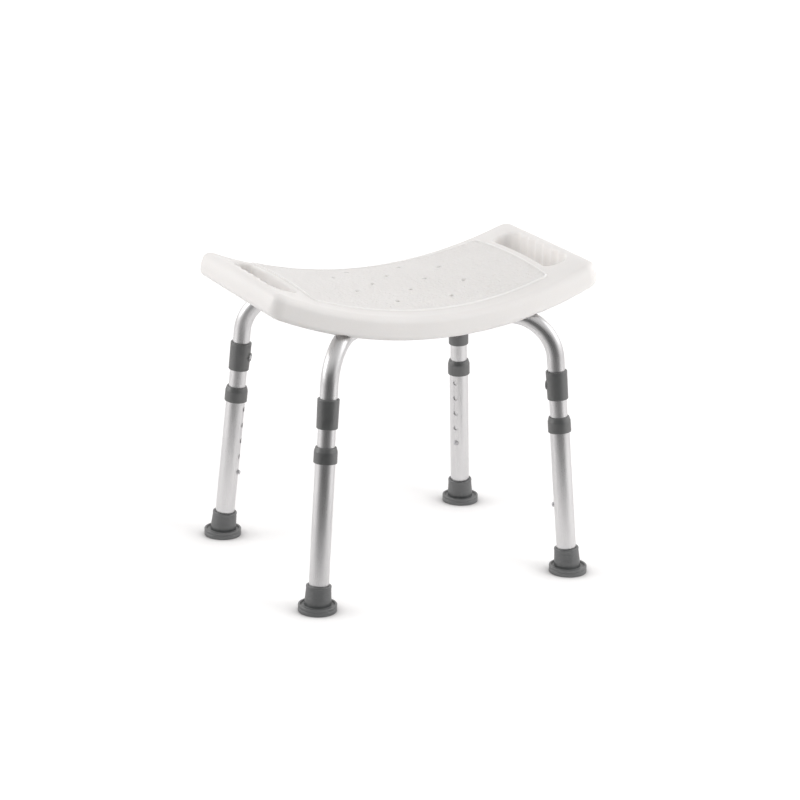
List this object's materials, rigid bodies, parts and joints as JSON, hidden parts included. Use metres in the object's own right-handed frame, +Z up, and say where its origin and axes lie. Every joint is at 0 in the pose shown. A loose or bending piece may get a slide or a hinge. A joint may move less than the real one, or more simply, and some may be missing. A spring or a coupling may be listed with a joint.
{
  "type": "shower stool",
  "caption": "Backless shower stool: a curved white seat with hand slots and drain holes on crossed bent tubes with telescoping, plug-in legs and rubber feet.",
  "frame": {"origin": "on the floor, under the middle of the seat", "axes": "+X along the seat's length from hand slot to hand slot, +Y across it, away from the sitter's feet, +Z up"},
  "size_m": [0.5162, 0.4006, 0.4554],
  "materials": {
    "seat_plastic": "white blow-moulded polyethylene, satin, with a fine textured panel on top",
    "grey_plastic": "mid grey moulded nylon, semi-gloss",
    "grey_rubber": "mid grey rubber, matt",
    "aluminium": "satin anodised drawn tube",
    "steel": "zinc-plated or stainless steel",
    "brass": "turned brass inserts"
  },
  "bodies": {
    "seat_frame": {"seat": "seat_plastic", "frame_tube_upper": "aluminium", "frame_tube_lower": "aluminium", "crossing_bolt": "steel", "crossing_washer": "steel", "crossing_nut": "steel", "front_left_saddle": "grey_plastic", "front_left_seat_screw": "steel", "front_left_insert": "brass", "front_left_sleeve": "grey_plastic", "front_right_saddle": "grey_plastic", "front_right_seat_screw": "steel", "front_right_insert": "brass", "front_right_sleeve": "grey_plastic", "rear_right_saddle": "grey_plastic", "rear_right_seat_screw": "steel", "rear_right_insert": "brass", "rear_right_sleeve": "grey_plastic", "rear_left_saddle": "grey_plastic", "rear_left_seat_screw": "steel", "rear_left_insert": "brass", "rear_left_sleeve": "grey_plastic"},
    "front_left_leg": {"front_left_inner_tube": "aluminium", "front_left_leg_spring": "steel", "front_left_height_spring": "steel"},
    "front_left_leg_button": {"front_left_leg_button": "steel"},
    "front_left_height_button": {"front_left_height_button": "steel"},
    "front_left_extension": {"front_left_outer_tube": "aluminium", "front_left_collar": "grey_plastic", "front_left_foot": "grey_rubber", "front_left_foot_washer": "steel"},
    "front_right_leg": {"front_right_inner_tube": "aluminium", "front_right_leg_spring": "steel", "front_right_height_spring": "steel"},
    "front_right_leg_button": {"front_right_leg_button": "steel"},
    "front_right_height_button": {"front_right_height_button": "steel"},
    "front_right_extension": {"front_right_outer_tube": "aluminium", "front_right_collar": "grey_plastic", "front_right_foot": "grey_rubber", "front_right_foot_washer": "steel"},
    "rear_right_leg": {"rear_right_inner_tube": "aluminium", "rear_right_leg_spring": "steel", "rear_right_height_spring": "steel"},
    "rear_right_leg_button": {"rear_right_leg_button": "steel"},
    "rear_right_height_button": {"rear_right_height_button": "steel"},
    "rear_right_extension": {"rear_right_outer_tube": "aluminium", "rear_right_collar": "grey_plastic", "rear_right_foot": "grey_rubber", "rear_right_foot_washer": "steel"},
    "rear_left_leg": {"rear_left_inner_tube": "aluminium", "rear_left_leg_spring": "steel", "rear_left_height_spring": "steel"},
    "rear_left_leg_button": {"rear_left_leg_button": "steel"},
    "rear_left_height_button": {"rear_left_height_button": "steel"},
    "rear_left_extension": {"rear_left_outer_tube": "aluminium", "rear_left_collar": "grey_plastic", "rear_left_foot": "grey_rubber", "rear_left_foot_washer": "steel"}
  },
  "joints": [
    {"name": "front_left_leg_release", "type": "slide", "parent": "seat_frame", "child": "front_left_leg", "axis": [-0.0696, -0.0594, -0.9958], "range_m": [0, 0.06], "deforming": ["front_left_leg_spring", "front_left_leg_button"]},
    {"name": "front_left_height", "type": "slide", "parent": "front_left_leg", "child": "front_left_extension", "axis": [-0.0696, -0.0594, -0.9958], "range_m": [0, 0.1], "deforming": ["front_left_height_spring", "front_left_height_button"]},
    {"name": "front_left_leg_button_press", "type": "slide", "parent": "front_left_leg", "child": "front_left_leg_button", "axis": [-0.7572, -0.6467, 0.0915], "range_m": [0, 0.0065], "stiffness_N_per_m": 2500, "springref_m": -0.002, "deforming": ["front_left_leg_spring"]},
    {"name": "front_left_height_button_press", "type": "slide", "parent": "front_left_leg", "child": "front_left_height_button", "axis": [-0.7572, -0.6467, 0.0915], "range_m": [0, 0.0052], "stiffness_N_per_m": 2500, "springref_m": -0.002, "deforming": ["front_left_height_spring"]},
    {"name": "front_right_leg_release", "type": "slide", "parent": "seat_frame", "child": "front_right_leg", "axis": [0.0696, -0.0594, -0.9958], "range_m": [0, 0.06], "deforming": ["front_right_leg_spring", "front_right_leg_button"]},
    {"name": "front_right_height", "type": "slide", "parent": "front_right_leg", "child": "front_right_extension", "axis": [0.0696, -0.0594, -0.9958], "range_m": [0, 0.1], "deforming": ["front_right_height_spring", "front_right_height_button"]},
    {"name": "front_right_leg_button_press", "type": "slide", "parent": "front_right_leg", "child": "front_right_leg_button", "axis": [0.7572, -0.6467, 0.0915], "range_m": [0, 0.0065], "stiffness_N_per_m": 2500, "springref_m": -0.002, "deforming": ["front_right_leg_spring"]},
    {"name": "front_right_height_button_press", "type": "slide", "parent": "front_right_leg", "child": "front_right_height_button", "axis": [0.7572, -0.6467, 0.0915], "range_m": [0, 0.0052], "stiffness_N_per_m": 2500, "springref_m": -0.002, "deforming": ["front_right_height_spring"]},
    {"name": "rear_right_leg_release", "type": "slide", "parent": "seat_frame", "child": "rear_right_leg", "axis": [0.0696, 0.0594, -0.9958], "range_m": [0, 0.06], "deforming": ["rear_right_leg_spring", "rear_right_leg_button"]},
    {"name": "rear_right_height", "type": "slide", "parent": "rear_right_leg", "child": "rear_right_extension", "axis": [0.0696, 0.0594, -0.9958], "range_m": [0, 0.1], "deforming": ["rear_right_height_spring", "rear_right_height_button"]},
    {"name": "rear_right_leg_button_press", "type": "slide", "parent": "rear_right_leg", "child": "rear_right_leg_button", "axis": [0.7572, 0.6467, 0.0915], "range_m": [0, 0.0065], "stiffness_N_per_m": 2500, "springref_m": -0.002, "deforming": ["rear_right_leg_spring"]},
    {"name": "rear_right_height_button_press", "type": "slide", "parent": "rear_right_leg", "child": "rear_right_height_button", "axis": [0.7572, 0.6467, 0.0915], "range_m": [0, 0.0052], "stiffness_N_per_m": 2500, "springref_m": -0.002, "deforming": ["rear_right_height_spring"]},
    {"name": "rear_left_leg_release", "type": "slide", "parent": "seat_frame", "child": "rear_left_leg", "axis": [-0.0696, 0.0594, -0.9958], "range_m": [0, 0.06], "deforming": ["rear_left_leg_spring", "rear_left_leg_button"]},
    {"name": "rear_left_height", "type": "slide", "parent": "rear_left_leg", "child": "rear_left_extension", "axis": [-0.0696, 0.0594, -0.9958], "range_m": [0, 0.1], "deforming": ["rear_left_height_spring", "rear_left_height_button"]},
    {"name": "rear_left_leg_button_press", "type": "slide", "parent": "rear_left_leg", "child": "rear_left_leg_button", "axis": [-0.7572, 0.6467, 0.0915], "range_m": [0, 0.0065], "stiffness_N_per_m": 2500, "springref_m": -0.002, "deforming": ["rear_left_leg_spring"]},
    {"name": "rear_left_height_button_press", "type": "slide", "parent": "rear_left_leg", "child": "rear_left_height_button", "axis": [-0.7572, 0.6467, 0.0915], "range_m": [0, 0.0052], "stiffness_N_per_m": 2500, "springref_m": -0.002, "deforming": ["rear_left_height_spring"]}
  ]
}
